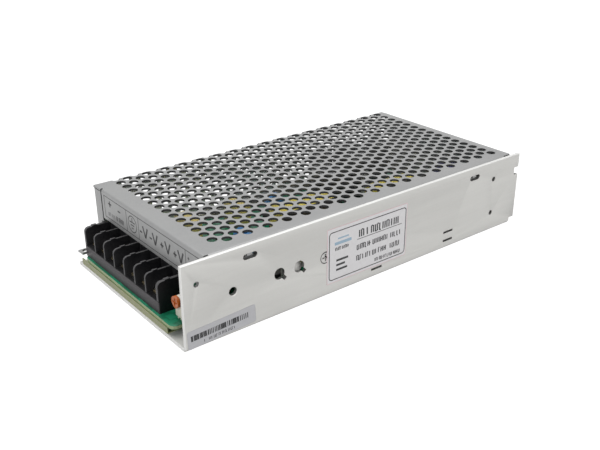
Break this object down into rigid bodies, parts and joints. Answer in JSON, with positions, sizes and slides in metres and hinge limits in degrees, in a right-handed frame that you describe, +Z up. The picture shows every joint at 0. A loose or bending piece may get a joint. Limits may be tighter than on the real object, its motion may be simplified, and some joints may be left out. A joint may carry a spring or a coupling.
{
  "type": "enclosed switching power supply",
  "caption": "Enclosed switching power supply: folded metal chassis, perforated cover and a black screw terminal block on the front end.",
  "frame": {"origin": "centre of the footprint, on the underside of the base", "axes": "+X along the length, away from the terminals; +Y towards the cover's perforated side, away from the plain wall; +Z up"},
  "size_m": [0.199, 0.098, 0.038],
  "materials": {
    "chassis_sheet": "plain mill finish, fine and faintly mottled",
    "cover_sheet": "zinc plated, satin",
    "fastener_steel": "bright plated",
    "insulation_film": "olive film",
    "board_laminate": "green solder mask",
    "block_plastic": "moulded black, fine grain",
    "contact_brass": "tinned in part",
    "trimmer_white": "moulded",
    "rotor_orange": "moulded",
    "led_green": "clear tinted",
    "fuse_body": "glass tube with metal ends",
    "clip_metal": "tinned spring strip",
    "ferrite": "sintered, matte",
    "coil_tape": "yellow polyester tape",
    "choke_green": "coated ring",
    "copper_wire": "enamelled copper",
    "sleeve_black": "shrunk sleeve, bare metal top",
    "sleeve_blue": "shrunk sleeve, bare metal top",
    "sleeve_violet": "shrunk sleeve",
    "film_yellow": "moulded box",
    "disc_blue": "dipped coating",
    "epoxy_black": "moulded package, tinned tab and legs",
    "pad_grey": "silicone pad",
    "resistor_body": "coated body",
    "ceramic_white": "glazed tube",
    "label_paper": "printed label",
    "sticker_paper": "printed sticker"
  },
  "bodies": {
    "case": {"chassis": "chassis_sheet", "mesh_cover": "cover_sheet", "cover_screws": "fastener_steel", "insulation_sheet": "insulation_film", "circuit_board": "board_laminate", "standoffs": "fastener_steel", "board_screws": "fastener_steel", "terminal_block": "block_plastic", "terminal_plates": "contact_brass", "trimmer_body": "trimmer_white", "status_led": "led_green", "input_fuse": "fuse_body", "fuse_clips": "clip_metal", "transformer_core": "ferrite", "transformer_coil": "coil_tape", "inductor_core": "ferrite", "inductor_coil": "coil_tape", "choke_core": "choke_green", "choke_winding": "copper_wire", "input_capacitors": "sleeve_black", "output_capacitors": "sleeve_blue", "snubber_capacitor": "sleeve_violet", "film_capacitors": "film_yellow", "ceramic_capacitors": "disc_blue", "wall_transistors": "epoxy_black", "insulating_pads": "pad_grey", "wall_screws": "fastener_steel", "heatsink": "chassis_sheet", "rectifiers": "epoxy_black", "control_chip": "epoxy_black", "optocouplers": "epoxy_black", "power_resistors": "resistor_body", "ceramic_resistor": "ceramic_white", "rating_label": "label_paper", "barcode_sticker": "sticker_paper"},
    "trimmer_rotor": {"trimmer_rotor": "rotor_orange"},
    "clamp_1": {"clamp_washer_1": "fastener_steel"},
    "screw_1": {"terminal_screw_1": "fastener_steel"},
    "clamp_2": {"clamp_washer_2": "fastener_steel"},
    "screw_2": {"terminal_screw_2": "fastener_steel"},
    "clamp_3": {"clamp_washer_3": "fastener_steel"},
    "screw_3": {"terminal_screw_3": "fastener_steel"},
    "clamp_4": {"clamp_washer_4": "fastener_steel"},
    "screw_4": {"terminal_screw_4": "fastener_steel"},
    "clamp_5": {"clamp_washer_5": "fastener_steel"},
    "screw_5": {"terminal_screw_5": "fastener_steel"},
    "clamp_6": {"clamp_washer_6": "fastener_steel"},
    "screw_6": {"terminal_screw_6": "fastener_steel"},
    "clamp_7": {"clamp_washer_7": "fastener_steel"},
    "screw_7": {"terminal_screw_7": "fastener_steel"}
  },
  "joints": [
    {"name": "trimmer_turn", "type": "hinge", "parent": "case", "child": "trimmer_rotor", "pos_m": [-0.0939, -0.03475, 0.0152], "axis": [1, 0, 0], "range_deg": [-120, 120]},
    {"name": "clamp_1_lift", "type": "slide", "parent": "case", "child": "clamp_1", "axis": [0, 0, 1], "range_m": [0, 0.0018]},
    {"name": "screw_1_turn", "type": "hinge", "parent": "clamp_1", "child": "screw_1", "pos_m": [-0.0907, -0.01945, 0.0133], "axis": [0, 0, 1], "range_deg": [0, 1080]},
    {"name": "clamp_2_lift", "type": "slide", "parent": "case", "child": "clamp_2", "axis": [0, 0, 1], "range_m": [0, 0.0018]},
    {"name": "screw_2_turn", "type": "hinge", "parent": "clamp_2", "child": "screw_2", "pos_m": [-0.0907, -0.00995, 0.0133], "axis": [0, 0, 1], "range_deg": [0, 1080]},
    {"name": "clamp_3_lift", "type": "slide", "parent": "case", "child": "clamp_3", "axis": [0, 0, 1], "range_m": [0, 0.0018]},
    {"name": "screw_3_turn", "type": "hinge", "parent": "clamp_3", "child": "screw_3", "pos_m": [-0.0907, -0.00045, 0.0133], "axis": [0, 0, 1], "range_deg": [0, 1080]},
    {"name": "clamp_4_lift", "type": "slide", "parent": "case", "child": "clamp_4", "axis": [0, 0, 1], "range_m": [0, 0.0018]},
    {"name": "screw_4_turn", "type": "hinge", "parent": "clamp_4", "child": "screw_4", "pos_m": [-0.0907, 0.00905, 0.0133], "axis": [0, 0, 1], "range_deg": [0, 1080]},
    {"name": "clamp_5_lift", "type": "slide", "parent": "case", "child": "clamp_5", "axis": [0, 0, 1], "range_m": [0, 0.0018]},
    {"name": "screw_5_turn", "type": "hinge", "parent": "clamp_5", "child": "screw_5", "pos_m": [-0.0907, 0.01855, 0.0133], "axis": [0, 0, 1], "range_deg": [0, 1080]},
    {"name": "clamp_6_lift", "type": "slide", "parent": "case", "child": "clamp_6", "axis": [0, 0, 1], "range_m": [0, 0.0018]},
    {"name": "screw_6_turn", "type": "hinge", "parent": "clamp_6", "child": "screw_6", "pos_m": [-0.0907, 0.02805, 0.0133], "axis": [0, 0, 1], "range_deg": [0, 1080]},
    {"name": "clamp_7_lift", "type": "slide", "parent": "case", "child": "clamp_7", "axis": [0, 0, 1], "range_m": [0, 0.0018]},
    {"name": "screw_7_turn", "type": "hinge", "parent": "clamp_7", "child": "screw_7", "pos_m": [-0.0907, 0.03755, 0.0133], "axis": [0, 0, 1], "range_deg": [0, 1080]}
  ],
  "couplings": [
    {"joint": "screw_1_turn", "follows": "clamp_1_lift", "rad_per_m": 10472},
    {"joint": "screw_2_turn", "follows": "clamp_2_lift", "rad_per_m": 10472},
    {"joint": "screw_3_turn", "follows": "clamp_3_lift", "rad_per_m": 10472},
    {"joint": "screw_4_turn", "follows": "clamp_4_lift", "rad_per_m": 10472},
    {"joint": "screw_5_turn", "follows": "clamp_5_lift", "rad_per_m": 10472},
    {"joint": "screw_6_turn", "follows": "clamp_6_lift", "rad_per_m": 10472},
    {"joint": "screw_7_turn", "follows": "clamp_7_lift", "rad_per_m": 10472}
  ]
}
